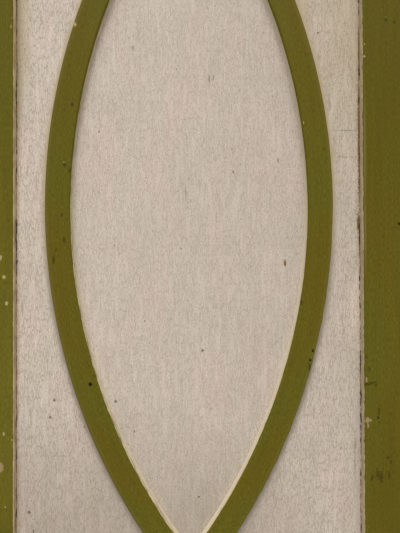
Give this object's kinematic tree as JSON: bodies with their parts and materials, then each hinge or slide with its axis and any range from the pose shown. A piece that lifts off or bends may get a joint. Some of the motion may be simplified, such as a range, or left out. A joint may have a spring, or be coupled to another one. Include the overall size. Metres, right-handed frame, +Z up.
{
  "type": "double partition door",
  "caption": "Pair of framed and panelled timber leaves with raised pointed-oval bands on the upper panels, hung on butt hinges in a rebated frame with architraves.",
  "frame": {"origin": "on the floor under the threshold, half way between the jambs and in the middle of the frame's depth", "axes": "+Z up, +X to the right seen from the front, +Y to the back; the face with the pointed ovals, towards which the leaves open, looks along -Y"},
  "size_m": [1.436, 0.174, 2.093],
  "materials": {
    "olive_paint": "brushed olive-green paint on timber, worn and chipped",
    "cream_paint": "old cream paint on timber, finely crackled",
    "aged_brass": "aged brass",
    "steel": "plain steel",
    "threshold_wood": "worn bare hardwood"
  },
  "bodies": {
    "frame": {"jamb_left": "olive_paint", "jamb_right": "olive_paint", "head": "olive_paint", "threshold": "threshold_wood", "architrave_front_left": "olive_paint", "architrave_front_right": "olive_paint", "architrave_front_head": "olive_paint", "architrave_back_left": "olive_paint", "architrave_back_right": "olive_paint", "architrave_back_head": "olive_paint", "hinge_left_bottom_frame_half": "aged_brass", "hinge_left_middle_frame_half": "aged_brass", "hinge_left_top_frame_half": "aged_brass", "hinge_right_bottom_frame_half": "aged_brass", "hinge_right_middle_frame_half": "aged_brass", "hinge_right_top_frame_half": "aged_brass", "hinge_pins": "aged_brass", "bolt_keeps": "aged_brass", "screws_frame": "aged_brass"},
    "leaf_left": {"hinge_stile_left": "olive_paint", "meeting_stile_left": "olive_paint", "bottom_rail_left": "olive_paint", "lock_rail_left": "olive_paint", "top_rail_left": "olive_paint", "upper_panel_left": "cream_paint", "lower_panel_left": "cream_paint", "lens_band_left_left_arc": "olive_paint", "lens_band_left_right_arc": "olive_paint", "pegs_left": "olive_paint", "hinge_left_bottom_leaf_half": "aged_brass", "hinge_left_middle_leaf_half": "aged_brass", "hinge_left_top_leaf_half": "aged_brass", "screws_left": "aged_brass", "strike_plate": "aged_brass", "flush_bolt_top_plate": "aged_brass", "flush_bolt_bottom_plate": "aged_brass"},
    "leaf_right": {"hinge_stile_right": "olive_paint", "meeting_stile_right": "olive_paint", "bottom_rail_right": "olive_paint", "lock_rail_right": "olive_paint", "top_rail_right": "olive_paint", "upper_panel_right": "cream_paint", "lower_panel_right": "cream_paint", "lens_band_right_left_arc": "olive_paint", "lens_band_right_right_arc": "olive_paint", "pegs_right": "olive_paint", "hinge_right_bottom_leaf_half": "aged_brass", "hinge_right_middle_leaf_half": "aged_brass", "hinge_right_top_leaf_half": "aged_brass", "screws_right": "aged_brass", "lock_case": "steel", "roses": "aged_brass"},
    "knobs": {"knob_front": "aged_brass", "knob_back": "aged_brass", "spindle": "steel", "lock_follower": "steel"},
    "lock_bolt": {"lock_bolt": "aged_brass"},
    "flush_bolt_top": {"flush_bolt_top_rod": "aged_brass"},
    "flush_bolt_bottom": {"flush_bolt_bottom_rod": "aged_brass"}
  },
  "joints": [
    {"name": "leaf_left_swing", "type": "hinge", "parent": "frame", "child": "leaf_left", "pos_m": [-0.63275, -0.057, 1.0405], "axis": [0, 0, -1], "range_deg": [0, 150]},
    {"name": "leaf_right_swing", "type": "hinge", "parent": "frame", "child": "leaf_right", "pos_m": [0.63275, -0.057, 1.0405], "axis": [0, 0, 1], "range_deg": [0, 150]},
    {"name": "knob_turn", "type": "hinge", "parent": "leaf_right", "child": "knobs", "pos_m": [0.0535, -0.03, 0.955], "axis": [0, -1, 0], "range_deg": [0, 90]},
    {"name": "lock_bolt_slide", "type": "slide", "parent": "leaf_right", "child": "lock_bolt", "axis": [-1, 0, 0], "range_m": [0, 0.0155]},
    {"name": "flush_bolt_top_slide", "type": "slide", "parent": "leaf_left", "child": "flush_bolt_top", "axis": [0, 0, 1], "range_m": [0, 0.017]},
    {"name": "flush_bolt_bottom_slide", "type": "slide", "parent": "leaf_left", "child": "flush_bolt_bottom", "axis": [0, 0, -1], "range_m": [0, 0.017]}
  ],
  "couplings": [
    {"joint": "lock_bolt_slide", "follows": "knob_turn", "m_per_rad": 0.0098676}
  ]
}
